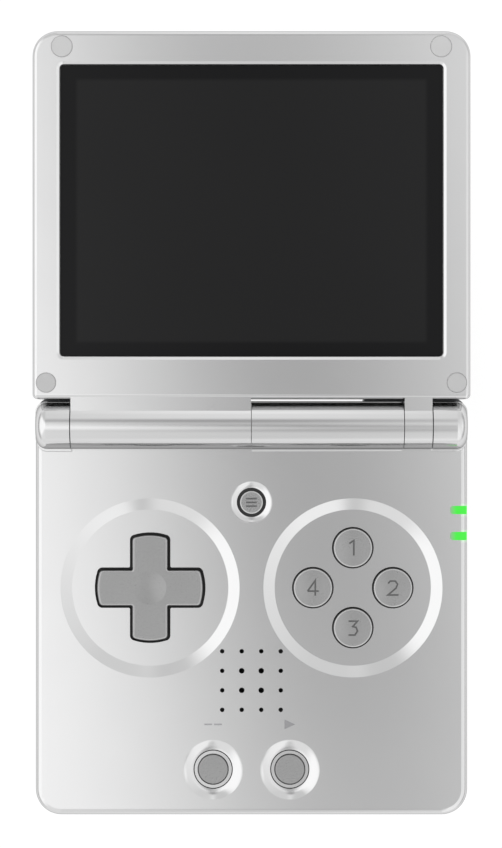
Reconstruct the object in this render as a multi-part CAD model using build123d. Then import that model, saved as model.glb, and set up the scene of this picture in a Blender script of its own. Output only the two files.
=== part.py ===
from build123d import *
import os
from math import atan2, cos, sin, sqrt

# Clamshell handheld game console, opened flat. Millimetres.
# X runs along the hinge, Y from the base's front edge (-) to the lid's far edge (+), Z up.
# The origin is under the hinge axis, on the surface that the base stands on.

# --- driving dimensions -----------------------------------------------------------------
WIDTH = 89.0                 # along the hinge
REACH = 80.2                 # hinge axis to the front of the base, and to the far edge of the lid
BASE_T = 15.9                # base, from its underside to its face
LID_T = 10.1                 # lid, from its back to its face
FOOT_PROUD = 0.5             # the rubber feet stand out of the underside
BARREL_R = 4.75              # hinge knuckles
AXIS_RISE = 4.2              # hinge axis above the base's face
CLOSED_GAP = 0.4             # between the two faces when the lid is shut
WALL = 1.6                   # shells
FIT = 0.05                   # radial clearance of a running fit
SEAM = 0.1                   # half of the seam between two knuckles

HALF = WIDTH / 2
BOTTOM = FOOT_PROUD
FACE = BOTTOM + BASE_T
BASE_PART = 8.3              # parting line of the base's two shells
BASE_REAR = 5.05             # the base ends a little behind its knuckles
AXIS_Z = FACE + AXIS_RISE
LID_FACE = AXIS_Z + AXIS_RISE - CLOSED_GAP
LID_BACK = LID_FACE - LID_T
LID_PART = 20.4              # parting line of the lid's two shells
LID_REAR = 5.43              # the lid's hinge-side wall

# outer corners and edges
FRONT_CORNER_R = 5.3
LID_CORNER_R = 5.1
REAR_CORNER_R = 2.25
LID_REAR_CORNER_R = 1.0
FACE_EDGE_R = 1.3
LID_EDGE_R = 0.95
BACK_EDGE_R = 2.2
SEAM_CHAMFER = 0.22

# hinge knuckles along X
CAP_LEFT_X = -36.95
MIDDLE_X0 = 0.0
MIDDLE_X1 = 31.0
CAP_RIGHT_X = 36.85
CAP_END_X = 44.0             # the end caps stand a little inside the base's outline
CAP_END_R = 2.2
PLINTH = 0.3                 # rim round the foot of a base knuckle
TROUGH_R = 5.0
KNUCKLE_BORE_R = 3.25
CARTRIDGE_X0 = 9.2
SHAFT_R = 1.2
SHAFT_HEX_R = 2.05
LEFT_PIN_R = 1.5
LEFT_PIN_X1 = -30.0
FLEX_T = 0.15
FLEX_BASE_X = (2.0, 7.0)     # flat cable below the hinge, and in the lid
FLEX_LID_X = (-8.0, -3.0)
FLEX_ROLL_R = 1.5

# dishes, direction pad and face buttons
DISH_X = 20.9
DISH_Y = -33.4
DISH_R = 18.45
DISH_FLOOR_R = 16.12
DISH_DEPTH = 0.9
DPAD_SPAN = 21.75
DPAD_ARM = 7.26
DPAD_GAP = 0.54
DPAD_TIP_R = 0.8
DPAD_DIMPLE_R = 3.4
DPAD_DIMPLE_DEPTH = 0.3
DPAD_TOP = FACE + 0.5
DPAD_FLANGE_R = 12.3
DPAD_ROCK_GAP = 0.75         # flange to the shell above it
BUTTON_R = 4.0
BUTTON_GAP = 0.3
BUTTON_PITCH = 8.24          # dish centre to button centre
BUTTON_TOP = FACE + 0.55

# small buttons
MENU_Y = -15.79
MENU_R = 2.41
MENU_HOLE_R = 3.03
MENU_DISH_R = 4.32
MENU_DISH_DEPTH = 0.5
SMALL_X = 7.9
SMALL_Y = -70.84
SMALL_R = 3.03
SMALL_HOLE_R = 3.22
SMALL_BOWL_R = 6.15
SMALL_BOWL_FLOOR_R = 4.05
SMALL_BOWL_DEPTH = 0.75
SMALL_GROOVE_DEPTH = 0.4        # groove at the bowl's foot
MARK_Y = -61.5               # marks over the two small buttons
MARK_DEPTH = 0.12
STROKE = 0.34

# speaker holes
SPEAKER_Y = -52.48
SPEAKER_PITCH = 4.02
SPEAKER_HOLE_R = 0.46
SPEAKER_CENTRE_HOLE_R = 0.57
SPEAKER_R = 9.0

# light pipes at the right edge
LIGHT_X0 = 40.9
LIGHT_WIDTH = 1.7
LIGHT_END_R = 0.6
LIGHT_DEPTH = 3.0
POWER_LIGHT_Y = -17.36
CHARGE_LIGHT_Y = -22.72

# levels inside the base
BOARD_Z0 = 9.4
BOARD_Z1 = 10.4
CEILING = FACE - WALL
DISH_CEILING = FACE - DISH_DEPTH - WALL
SHEET_T = 0.6                # rubber membranes
DOME_TOP = 12.35
FLANGE_T = 0.8
PRESS_GAP = 0.05             # button to dome
DPAD_BALL_R = 1.3            # ball on the board that the direction pad rocks on
DPAD_BALL_Z = BOARD_Z1 + DPAD_BALL_R + 0.05

# base screws
SCREW_PLACES = [(side * x, y) for x, y in ((39.0, -74.0), (39.5, -38.0), (18.5, 0.0)) for side in (-1, 1)]
POST_R = 2.2
BOSS_R = 2.9
SCREW_R = 1.0
SCREW_HEAD_R = 2.0
SCREW_HEAD_T = 1.5
SCREW_SEAT = 4.2
SCREW_TIP = 12.2
HOLE_SLACK = 0.15

# battery bay
BATTERY = (64.0, 46.0, 5.0)
BATTERY_Y = -43.0
BAY_MARGIN = 0.6
LEDGE = 1.4
BATTERY_SCREW_Y = -15.4
BATTERY_SCREW_R = 0.9

# board
STANDOFF_X = 36.0
STANDOFF_Y = (-60.0, -12.0)
FEET_X = 31.5
FEET_Y = (-73.0, -1.4)
FEET_R = 3.2

# shoulder buttons
KEY_X = [(23.3, 32.7), (34.3, HALF)]
KEY_WINDOW_X = 23.0
KEY_Y0 = -0.2
KEY_Y1 = 5.8
KEY_Z0 = 5.4
KEY_Z1 = 13.6
KEY_WALL = 1.3
KEY_PIN_Y = 0.8
KEY_PIN_Z = 6.8
KEY_PIN_R = 0.75

# openings in the base's sides
USB_X = -10.0
USB_SIZE = (8.94, 3.26)
VIDEO_X = 8.0
VIDEO_SIZE = (11.2, 3.4)
JACK_X = 30.0
JACK_Z = 11.6
JACK_BORE_R = 1.8
JACK_NOSE_R = 2.9
JACK_LENGTH = 14.0
CARD_Y = -55.0
CARD_WIDTH = 11.6
POWER_Y = -27.0
POWER_LENGTH = 6.0
VOLUME_Y = -27.0
VOLUME_LENGTH = 14.0
SIDE_KEY_Z = 11.1
SIDE_KEY_H = 2.4
SIDE_PROUD = 0.1

# screen
LENS_W = 77.84
LENS_H = 59.25
LENS_Y = 43.70
LENS_T = 1.0
LENS_RECESS = 0.9
LENS_CORNER_R = 0.85
LENS_GAP = 0.12
LENS_BEVEL = 0.55
LENS_BEVEL_DEPTH = 0.32
TAPE_T = 0.15
WINDOW_W = 73.4
WINDOW_H = 55.6
LEDGE_T = 1.2
PANEL = (75.2, 61.4, 2.4)
PANEL_Y = 42.9

# lid screws and the rubber bumpers over them: (x, y, radius)
UPPER_BUMPER = (38.5, 77.0, 2.2)
LOWER_BUMPER = (41.7, 8.76, 2.05)
BUMPER_PROUD = 0.35


# --- small helpers ----------------------------------------------------------------------
def block(x0, x1, y0, y1, z0, z1):
    """Box between two corners."""
    return Pos((x0 + x1) / 2, (y0 + y1) / 2, (z0 + z1) / 2) * Box(x1 - x0, y1 - y0, z1 - z0)


def disc(x, y, r, z0, z1):
    """Upright cylinder."""
    return Pos(x, y, (z0 + z1) / 2) * Cylinder(r, z1 - z0)


def cone(x, y, r0, r1, z0, z1):
    """Upright cone, radius r0 at the bottom and r1 at the top."""
    return Pos(x, y, (z0 + z1) / 2) * Cone(r0, r1, z1 - z0)


def bowl(x, y, r_foot, r_rim, z0, z1):
    """Round hollow whose wall is level at its foot and steepest at its rim."""
    steep = 2 * atan2(z1 - z0, r_rim - r_foot)
    wall_r = (r_rim - r_foot) / sin(steep)
    middle = (r_foot + wall_r * sin(steep / 2), z0 + wall_r * (1 - cos(steep / 2)))
    wall = ThreePointArc((r_foot, z0), middle, (r_rim, z1))
    rest = Polyline((r_rim, z1), (0, z1), (0, z0), (r_foot, z0))
    outline = Plane.XZ * make_face(wall.edges() + rest.edges())
    return Pos(x, y, 0) * revolve(outline, Axis.Z)


def rod_x(x0, x1, y, z, r):
    """Cylinder along X."""
    return Pos((x0 + x1) / 2, y, z) * Rot(0, 90, 0) * Cylinder(r, x1 - x0)


def rod_y(x, y0, y1, z, r):
    """Cylinder along Y."""
    return Pos(x, (y0 + y1) / 2, z) * Rot(90, 0, 0) * Cylinder(r, y1 - y0)


def slab(x0, x1, y0, y1, z0, z1, r_low, r_high):
    """Box whose upright corners are rounded: r_low at its lower Y end, r_high at the other."""
    outline = Rectangle(x1 - x0, y1 - y0)
    outline = fillet(outline.vertices().group_by(Axis.Y)[0], r_low)
    outline = fillet(outline.vertices().group_by(Axis.Y)[-1], r_high)
    return Pos((x0 + x1) / 2, (y0 + y1) / 2, z0) * extrude(outline, z1 - z0)


def slot_y(x, z, width, height, y0, y1, r):
    """Rounded rectangular bar along Y."""
    outline = Plane.XZ * RectangleRounded(width, height, r)
    return Pos(x, y1, z) * extrude(outline, y1 - y0)


def slot_x(y, z, length, height, x0, x1, r):
    """Rounded rectangular bar along X."""
    outline = Plane.YZ * RectangleRounded(length, height, r)
    return Pos(x0, y, z) * extrude(outline, x1 - x0)


def both_sides(shape):
    """A shape and its mirror image across the middle plane."""
    return [shape, mirror(shape, about=Plane.YZ)]


def joined(shapes):
    """Several shapes as one."""
    first, *rest = shapes
    return first + rest if rest else first


# --- outer forms ------------------------------------------------------------------------
def base_form():
    form = slab(-HALF, HALF, -REACH, BASE_REAR, BOTTOM, FACE, FRONT_CORNER_R, REAR_CORNER_R)
    form = fillet(form.edges().group_by(Axis.Z)[-1], FACE_EDGE_R)
    return fillet(form.edges().group_by(Axis.Z)[0], BACK_EDGE_R - 0.05)


def lid_form():
    form = slab(-HALF, HALF, LID_REAR, REACH, LID_BACK, LID_FACE, LID_REAR_CORNER_R, LID_CORNER_R)
    form = fillet(form.edges().group_by(Axis.Z)[-1], LID_EDGE_R)
    return fillet(form.edges().group_by(Axis.Z)[0], LID_REAR_CORNER_R - 0.05)


def base_cavity(z0, z1):
    inner = HALF - WALL
    return slab(-inner, inner, -REACH + WALL, BASE_REAR - WALL, z0, z1, FRONT_CORNER_R - WALL, 0.65)


def lid_cavity(z0, z1):
    inner = HALF - WALL
    return slab(-inner, inner, LID_REAR + WALL, REACH - WALL, z0, z1, 0.5, LID_CORNER_R - WALL)


def arch(x0, x1, z0):
    """Knuckle of the base: a barrel with upright walls down to z0."""
    drop = z0 - AXIS_Z
    wall = Polyline((BARREL_R, 0), (BARREL_R, drop), (-BARREL_R, drop), (-BARREL_R, 0))
    top = ThreePointArc((-BARREL_R, 0), (0, BARREL_R), (BARREL_R, 0))
    outline = Plane.YZ * make_face(wall.edges() + top.edges())
    return Pos(x0, 0, AXIS_Z) * extrude(outline, x1 - x0)


def foot_flare(x0, x1):
    """Hollow-rounded strip along the front foot of a base knuckle, with a thin lip."""
    r = 2 * PLINTH
    lip = 0.05
    bow = r * (1 - sqrt(0.5))
    sides = Polyline((-BARREL_R, lip + r), (-BARREL_R, 0), (-BARREL_R - r, 0), (-BARREL_R - r, lip))
    curve = ThreePointArc((-BARREL_R - r, lip), (-BARREL_R - bow, lip + bow), (-BARREL_R, lip + r))
    outline = Plane.YZ * make_face(sides.edges() + curve.edges())
    return Pos(x0, 0, FACE) * extrude(outline, x1 - x0)


def end_cap(x0, x1):
    """Outermost knuckle of the base, its outer end rounded, on a thin plinth."""
    cap = arch(x0, x1, FACE)
    end = cap.faces().sort_by(Axis.X)[-1]
    edges = end.edges().sort_by(Axis.Z)[1:]
    cap = fillet(edges, CAP_END_R)
    plinth = Rectangle(x1 + PLINTH - x0, BASE_REAR + BARREL_R + 2 * PLINTH)
    plinth = fillet(plinth.vertices().group_by(Axis.X)[-1], CAP_END_R + 0.1)
    y = (BASE_REAR - BARREL_R - 2 * PLINTH) / 2
    plinth = Pos((x0 + x1 + PLINTH) / 2, y, FACE) * extrude(plinth, PLINTH)
    return cap + fillet(plinth.edges().group_by(Axis.Z)[-1], PLINTH - 0.05)


def rear_deck():
    """Strip of the face under and behind the knuckles, with square upper edges."""
    deck = slab(-HALF, HALF, -BARREL_R, BASE_REAR, CEILING, FACE, CAP_END_R, REAR_CORNER_R)
    return fillet(deck.edges().group_by(Axis.Z)[-1], 0.15)


def cross(span, arm, tip_r):
    """Cross whose arm ends are arcs about its centre, with rounded corners."""
    bars = Rectangle(span + 1, arm) + Rectangle(arm, span + 1)
    outline = bars & Circle(span / 2)
    corners = outline.vertices().sort_by_distance((0, 0, 0))
    outline = fillet(corners[-8:], tip_r)
    corners = outline.vertices().sort_by_distance((0, 0, 0))
    return fillet(corners[:4], 0.3)


def glyph(lines, size):
    """Strokes of one mark, from polylines in a unit square."""
    strokes = [trace(Polyline(*[(x * size, y * size) for x, y in line]), STROKE) for line in lines]
    return joined(strokes)


NUMERALS = {
    "1": [[(-0.25, 0.3), (0.05, 0.5), (0.05, -0.5)]],
    "2": [[(-0.32, 0.3), (-0.2, 0.46), (0.15, 0.46), (0.3, 0.25), (0.2, 0.0), (-0.34, -0.46), (0.36, -0.46)]],
    "3": [[(-0.3, 0.46), (0.3, 0.46), (-0.02, 0.1), (0.2, 0.05), (0.3, -0.2), (0.12, -0.46), (-0.3, -0.46)]],
    "4": [[(0.15, -0.5), (0.15, 0.5), (-0.36, -0.2)], [(-0.36, -0.2), (0.38, -0.2)]],
}


# --- base shells ------------------------------------------------------------------------
def cable_slit():
    """Way up for the flat cable, from the board through the face into the middle knuckle."""
    x0, x1 = FLEX_BASE_X
    return block(x0 - 0.5, x1 + 0.5, -2.1, -0.9, CEILING - 1, AXIS_Z - 2)


def barrel_tenon(slack):
    """Peg under the middle knuckle that holds it in the base's face."""
    return block(11 - slack, 29 + slack, -2.4 - slack, 2.4 + slack, CEILING - slack, FACE + slack)


def hinge_barrel():
    """Middle knuckle, which holds the hinge cartridge; the flat cable comes up through its foot."""
    knuckle = arch(MIDDLE_X0 + SEAM / 2, MIDDLE_X1 - SEAM / 2, FACE)
    knuckle += foot_flare(MIDDLE_X0 + SEAM / 2, MIDDLE_X1 - SEAM / 2)
    bore = rod_x(MIDDLE_X0 - 1, MIDDLE_X1 + 1, 0, AXIS_Z, KNUCKLE_BORE_R)
    keyed = bore & block(CARTRIDGE_X0 - 0.1, MIDDLE_X1 + 1, -5, 5, AXIS_Z - 2.9 - FIT, AXIS_Z + 5)
    cable_end = bore & block(MIDDLE_X0 - 1, CARTRIDGE_X0 - 0.1, -5, 5, AXIS_Z - 5, AXIS_Z + 5)
    return knuckle + barrel_tenon(0) - keyed - cable_end - cable_slit()


def trough():
    """Grooves in the face under the lid's two knuckles."""
    left = rod_x(CAP_LEFT_X, MIDDLE_X0 + SEAM / 2, 0, AXIS_Z, TROUGH_R)
    right = rod_x(MIDDLE_X1 - SEAM / 2, CAP_RIGHT_X, 0, AXIS_Z, TROUGH_R)
    return [left, right]


def speaker_holes():
    holes = []
    for i in range(4):
        for j in range(4):
            central = i in (1, 2) and j in (1, 2)
            r = SPEAKER_CENTRE_HOLE_R if central else SPEAKER_HOLE_R
            x = (i - 1.5) * SPEAKER_PITCH
            y = SPEAKER_Y + (j - 1.5) * SPEAKER_PITCH
            holes.append(disc(x, y, r, CEILING - 1, FACE + 1))
    return holes


def face_button_places():
    return {
        "top": (DISH_X, DISH_Y + BUTTON_PITCH),
        "right": (DISH_X + BUTTON_PITCH, DISH_Y),
        "bottom": (DISH_X, DISH_Y - BUTTON_PITCH),
        "left": (DISH_X - BUTTON_PITCH, DISH_Y),
    }


def face_cuts():
    """Everything that is cut into the base's face for the controls."""
    cuts = []
    for x in (-DISH_X, DISH_X):
        cuts.append(cone(x, DISH_Y, DISH_FLOOR_R, DISH_R, FACE - DISH_DEPTH, FACE))
    hole = extrude(cross(DPAD_SPAN + 2 * DPAD_GAP, DPAD_ARM + 2 * DPAD_GAP, DPAD_TIP_R + 0.3), 10)
    cuts.append(Pos(-DISH_X, DISH_Y, CEILING - 3) * hole)
    for x, y in face_button_places().values():
        cuts.append(disc(x, y, BUTTON_R + BUTTON_GAP, CEILING - 3, FACE))
    cuts.append(bowl(0, MENU_Y, MENU_HOLE_R, MENU_DISH_R, FACE - MENU_DISH_DEPTH, FACE))
    cuts.append(disc(0, MENU_Y, MENU_HOLE_R, CEILING - 1, FACE))
    for x in (-SMALL_X, SMALL_X):
        floor = FACE - SMALL_BOWL_DEPTH
        cuts.append(bowl(x, SMALL_Y, SMALL_BOWL_FLOOR_R, SMALL_BOWL_R, floor, FACE))
        cuts.append(disc(x, SMALL_Y, SMALL_BOWL_FLOOR_R, floor - SMALL_GROOVE_DEPTH, floor))
        cuts.append(disc(x, SMALL_Y, SMALL_HOLE_R, CEILING - 2, FACE))
    return cuts


def small_button_land():
    """Flat ring round each small lower button, standing in the groove at the bowl's foot."""
    floor = FACE - SMALL_BOWL_DEPTH
    rings = []
    for x in (-SMALL_X, SMALL_X):
        ring = disc(x, SMALL_Y, SMALL_BOWL_FLOOR_R - 0.2, floor - 0.5, floor)
        rings.append(ring - disc(x, SMALL_Y, SMALL_HOLE_R, floor - 1, floor + 1))
    return rings


def face_marks():
    """Marks over the two small lower buttons: a pair of bars, and a triangle."""
    bars = glyph([[(-0.9, 0.0), (-0.1, 0.0)], [(0.1, 0.0), (0.9, 0.0)]], 2.0)
    triangle = make_face(Polyline((-1.1, -1.0), (1.1, 0.0), (-1.1, 1.0), close=True))
    left = Pos(-SMALL_X, MARK_Y, FACE - MARK_DEPTH) * extrude(bars, 1)
    right = Pos(SMALL_X, MARK_Y, FACE - MARK_DEPTH) * extrude(triangle, 1)
    return [left, right]


def light_slot(y):
    """Slot over the face's right edge, round at its inner end."""
    outline = Pos(HALF, y) * RectangleRounded(2 * (HALF - LIGHT_X0), LIGHT_WIDTH, LIGHT_END_R)
    return Pos(0, 0, FACE - LIGHT_DEPTH) * extrude(outline, LIGHT_DEPTH + 1)


def side_openings():
    """Ports, side buttons, card slot and jack, cut through the walls over the parting line."""
    rear = (BASE_REAR - WALL - 1, BASE_REAR + 1)
    right = (HALF - WALL - 1, HALF + 1)
    left = (-HALF - 1, -HALF + WALL + 1)
    usb_w, usb_h = USB_SIZE
    video_w, video_h = VIDEO_SIZE
    key_h = SIDE_KEY_H + 0.4
    return [
        slot_y(USB_X, BOARD_Z1 + usb_h / 2, usb_w + 0.3, usb_h + 0.3, *rear, 1.6),
        slot_y(VIDEO_X, BOARD_Z1 + video_h / 2, video_w + 0.3, video_h + 0.3, *rear, 0.6),
        rod_y(JACK_X, -REACH - 1, -REACH + WALL + 1, JACK_Z, JACK_NOSE_R + 0.1),
        slot_x(CARD_Y, BOARD_Z1 + 0.9, CARD_WIDTH, 1.3, *right, 0.4),
        slot_x(POWER_Y, SIDE_KEY_Z, POWER_LENGTH + 0.4, key_h, *right, 1.1),
        slot_x(VOLUME_Y, SIDE_KEY_Z, VOLUME_LENGTH + 0.4, key_h, *left, 1.1),
    ]


def shoulder_window(z0, z1):
    """Room for the shoulder buttons at one rear corner: out through the rear and side walls."""
    return block(KEY_WINDOW_X, HALF + 5, KEY_Y0 - 0.5, BASE_REAR + 5, z0, z1)


def seam_groove(y0, y1, z, r_low, r_high):
    """V groove round a body at its parting line."""
    c = SEAM_CHAMFER
    outer = block(-HALF - 1, HALF + 1, y0 - 1, y1 + 1, z - c, z + c)
    lower = tapered_slab(z - c, z, 0, c, y0, y1, r_low, r_high)
    upper = tapered_slab(z, z + c, c, 0, y0, y1, r_low, r_high)
    return outer - lower - upper


def tapered_slab(z0, z1, inset0, inset1, y0, y1, r_low, r_high):
    """Slab on a body's outline that goes from inset0 at z0 to inset1 at z1."""
    faces = []
    for z, inset in ((z0, inset0), (z1, inset1)):
        outline = Rectangle(WIDTH - 2 * inset, y1 - y0 - 2 * inset)
        outline = fillet(outline.vertices().group_by(Axis.Y)[0], r_low - inset)
        outline = fillet(outline.vertices().group_by(Axis.Y)[-1], r_high - inset)
        faces.append(Pos(0, (y0 + y1) / 2, z) * outline)
    return loft(faces, ruled=True)


def base_front_cover():
    cover = base_form() & block(-50, 50, -90, 10, BASE_PART, FACE + 1)
    cover -= base_cavity(BASE_PART - 1, CEILING)
    for x in (-DISH_X, DISH_X):
        cover += disc(x, DISH_Y, DISH_R + 0.6, DISH_CEILING, CEILING + 0.4)
    for x in (-SMALL_X, SMALL_X):
        cover += disc(x, SMALL_Y, SMALL_BOWL_R, CEILING - 0.7, CEILING + 0.2)
    for x, y in SCREW_PLACES:
        cover += disc(x, y, POST_R, BASE_PART, CEILING + 0.1)
    cover += rear_deck()
    cover -= trough()
    cover -= both_sides(shoulder_window(BASE_PART - 1, KEY_Z1 + 0.5))
    cover -= face_cuts()
    cover += small_button_land()
    cover -= face_marks()
    cover -= speaker_holes()
    cover -= [light_slot(POWER_LIGHT_Y), light_slot(CHARGE_LIGHT_Y)]
    cover -= side_openings()
    cover -= both_sides(cap_tenon(FIT))
    cover -= barrel_tenon(FIT)
    cover -= cable_slit()
    for x, y in SCREW_PLACES:
        cover -= disc(x, y, SCREW_R + FIT, BASE_PART - 1, SCREW_TIP + 0.6)
    return cover - seam_groove(-REACH, BASE_REAR, BASE_PART, FRONT_CORNER_R, REAR_CORNER_R)


def base_back_cover():
    cover = base_form() & block(-50, 50, -90, 10, BOTTOM - 1, BASE_PART)
    floor = BOTTOM + WALL
    cover -= base_cavity(floor, BASE_PART + 1)
    cover -= both_sides(shoulder_window(KEY_Z0 - 0.3, BASE_PART + 1))
    for x, y in SCREW_PLACES:
        cover += disc(x, y, BOSS_R, floor - 0.1, BASE_PART)
    for y in STANDOFF_Y:
        cover += both_sides(disc(STANDOFF_X, y, 1.6, floor - 0.1, BOARD_Z0))
    cover += disc(0, BATTERY_SCREW_Y, 2.4, floor - 0.1, 7.0)
    ribs = block(21.8, 22.6, -2.0, 2.6, floor - 0.1, BASE_PART - 0.1)
    ribs += block(33.0, 34.0, -2.0, 2.6, floor - 0.1, BASE_PART - 0.1)
    cover += both_sides(ribs)
    cover -= both_sides(rod_x(21.0, 35.0, KEY_PIN_Y, KEY_PIN_Z, KEY_PIN_R))
    for x, y in SCREW_PLACES:
        cover -= disc(x, y, SCREW_R + HOLE_SLACK, BOTTOM - 1, BASE_PART + 1)
        cover -= disc(x, y, SCREW_HEAD_R + HOLE_SLACK, BOTTOM - 1, SCREW_SEAT)
    cover -= battery_cover_form(0.1)
    cover -= disc(0, BATTERY_SCREW_Y, BATTERY_SCREW_R + FIT, BOTTOM - 1, 6.4)
    for y in FEET_Y:
        cover -= both_sides(disc(FEET_X, y, FEET_R + FIT, BOTTOM - 1, BOTTOM + 0.5))
    return cover - seam_groove(-REACH, BASE_REAR, BASE_PART, FRONT_CORNER_R, REAR_CORNER_R)


def cap_tenon(slack):
    """Peg that holds an end cap in the base's face, as at the right."""
    return block(38.6 - slack, 42.2 + slack, -2.4 - slack, 2.4 + slack, CEILING - slack, FACE + slack)


def hinge_cap_left():
    cap = mirror(end_cap(-CAP_LEFT_X, CAP_END_X) + cap_tenon(0), about=Plane.YZ)
    return cap - rod_x(-42.0, CAP_LEFT_X + 1, 0, AXIS_Z, LEFT_PIN_R)


def hinge_cap_right():
    cap = end_cap(CAP_RIGHT_X + SEAM, CAP_END_X) + cap_tenon(0)
    return cap - rod_x(CAP_RIGHT_X - 1, 41.0, 0, AXIS_Z, SHAFT_R + FIT)


# --- underside --------------------------------------------------------------------------
def battery_cover_form(slack):
    """Plate that closes the battery bay, stepped at its rim, with a screw tongue at the rear."""
    half_x = BATTERY[0] / 2 + BAY_MARGIN
    half_y = BATTERY[1] / 2 + BAY_MARGIN
    step = LEDGE + slack
    y0 = BATTERY_Y - half_y
    y1 = BATTERY_Y + half_y
    mid = BOTTOM + WALL / 2
    top = BOTTOM + WALL + slack
    outer = slab(-half_x - step, half_x + step, y0 - step, y1 + step, BOTTOM - slack, mid, 2, 2)
    inner = slab(-half_x - slack, half_x + slack, y0 - slack, y1 + slack, mid, top, 1, 1)
    tongue_end = BATTERY_SCREW_Y + 3.0
    tongue = slab(-4 - slack, 4 + slack, y1, tongue_end + slack, BOTTOM - slack, mid, 1, 2)
    return outer + inner + tongue


def battery_cover():
    cover = battery_cover_form(0)
    return cover - cone(0, BATTERY_SCREW_Y, 1.9, BATTERY_SCREW_R + 0.1, BOTTOM, BOTTOM + WALL / 2)


def battery_cover_screw():
    mid = BOTTOM + WALL / 2
    head = cone(0, BATTERY_SCREW_Y, 1.85, BATTERY_SCREW_R + FIT, BOTTOM + 0.03, mid)
    shank = disc(0, BATTERY_SCREW_Y, BATTERY_SCREW_R, mid, 6.0)
    return head + shank - cross_slot(0, BATTERY_SCREW_Y, BOTTOM, 0.5)


def cross_slot(x, y, z0, depth):
    """Cross recess of a screw head that faces down."""
    bars = Rectangle(2.2, 0.42) + Rectangle(0.42, 2.2)
    return Pos(x, y, z0) * extrude(bars, depth)


def battery():
    x, y, t = BATTERY
    z0 = BOTTOM + WALL + 0.2
    cell = slab(-x / 2, x / 2, BATTERY_Y - y / 2, BATTERY_Y + y / 2, z0, z0 + t, 2.4, 2.4)
    return fillet(cell.edges().group_by(Axis.Z)[-1], 0.8)


def rubber_feet():
    feet = []
    for y in FEET_Y:
        foot = disc(FEET_X, y, FEET_R, 0, BOTTOM + 0.5)
        feet += both_sides(fillet(foot.edges().group_by(Axis.Z)[0], 0.3))
    return feet


def base_screws():
    screws = []
    for x, y in SCREW_PLACES:
        head = disc(x, y, SCREW_HEAD_R, SCREW_SEAT - SCREW_HEAD_T, SCREW_SEAT)
        head = fillet(head.edges().group_by(Axis.Z)[0], 0.3)
        shank = disc(x, y, SCREW_R, SCREW_SEAT, SCREW_TIP)
        screws.append(head + shank - cross_slot(x, y, SCREW_SEAT - SCREW_HEAD_T, 0.8))
    return screws


# --- inside the base --------------------------------------------------------------------
def main_board():
    board = block(-41.4, 41.4, -77.4, -4.6, BOARD_Z0, BOARD_Z1)
    board += block(-15.5, 15.5, -4.6, 2.8, BOARD_Z0, BOARD_Z1)
    for x, y in SCREW_PLACES[:4]:
        board -= disc(x, y, POST_R + 0.4, BOARD_Z0 - 1, BOARD_Z1 + 1)
    for x in (-41.4, 41.4):
        board -= block(x - 3.0, x + 3.0, -78, -74, BOARD_Z0 - 1, BOARD_Z1 + 1)
    board -= block(JACK_X - 3.5, JACK_X + 3.5, -78, -REACH + JACK_LENGTH + 0.9, BOARD_Z0 - 1, BOARD_Z1 + 1)
    parts = [
        block(-30, -22, -15, -9.4, BOARD_Z1, BOARD_Z1 + 1.0),
        block(24, 31, -15, -9, BOARD_Z1, BOARD_Z1 + 1.2),
        block(-34, -28, -60, -55, BOARD_Z1, BOARD_Z1 + 1.6),
        block(-6, 5, -28, -22, BOARD_Z1, BOARD_Z1 + 1.0),
        block(14, 22, -66, -60, BOARD_Z1, BOARD_Z1 + 1.1),
    ]
    return board + parts


def processor_shield():
    can = block(-12, 12, -52, -28, BOARD_Z0 - 1.8, BOARD_Z0)
    return can - block(-11.7, 11.7, -51.7, -28.3, BOARD_Z0 - 1.5, BOARD_Z0 + 1)


def dome(x, y, foot_r, top_r, z0, z1):
    """Hollow rubber dome: outer cone and the hollow to take from it."""
    outer = cone(x, y, foot_r, top_r, z0 + SHEET_T - 0.05, z1)
    hollow = cone(x, y, foot_r - 0.6, top_r - 0.7, z0 - 0.01, z1 - 0.6)
    return outer, hollow


def membrane(sheet, places, foot_r, top_r):
    """Rubber sheet on the board with a dome at each place."""
    domes = [dome(x, y, foot_r, top_r, BOARD_Z1, DOME_TOP) for x, y in places]
    for outer, hollow in domes:
        sheet += outer
    for outer, hollow in domes:
        sheet -= hollow
    return sheet


def dpad_membrane():
    reach = 7.6
    sheet = disc(-DISH_X, DISH_Y, 13.4, BOARD_Z1, BOARD_Z1 + SHEET_T)
    sheet -= disc(-DISH_X, DISH_Y, 2.4, BOARD_Z1 - 1, BOARD_Z1 + 2)
    places = [(-DISH_X + dx * reach, DISH_Y + dy * reach) for dx, dy in ((1, 0), (0, 1), (-1, 0), (0, -1))]
    return membrane(sheet, places, 3.2, 2.1)


def face_button_membrane():
    sheet = disc(DISH_X, DISH_Y, 13.6, BOARD_Z1, BOARD_Z1 + SHEET_T)
    return membrane(sheet, list(face_button_places().values()), 3.6, 2.3)


def start_select_membrane():
    sheet = slab(-12.4, 12.4, SMALL_Y - 3.8, SMALL_Y + 3.8, BOARD_Z1, BOARD_Z1 + SHEET_T, 2, 2)
    return membrane(sheet, [(-SMALL_X, SMALL_Y), (SMALL_X, SMALL_Y)], 3.2, 1.9)


def menu_switch():
    body = block(-2.6, 2.6, MENU_Y - 2.6, MENU_Y + 2.6, BOARD_Z1, BOARD_Z1 + 1.8)
    return body + disc(0, MENU_Y, 1.1, BOARD_Z1 + 1.7, BOARD_Z1 + 2.2)


def speaker():
    """Round speaker: a frame, a cone, and a dust cap in its middle."""
    z0 = BOARD_Z1 + 0.2
    z1 = BOARD_Z1 + 3.2
    body = disc(0, SPEAKER_Y, SPEAKER_R, z0, z1)
    body -= cone(0, SPEAKER_Y, 3.6, SPEAKER_R - 1.2, z1 - 1.2, z1)
    dust_cap = Pos(0, SPEAKER_Y, z1 - 4.4) * Sphere(4.6) & disc(0, SPEAKER_Y, SPEAKER_R, z0, z1 + 0.2)
    return body + dust_cap


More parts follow.
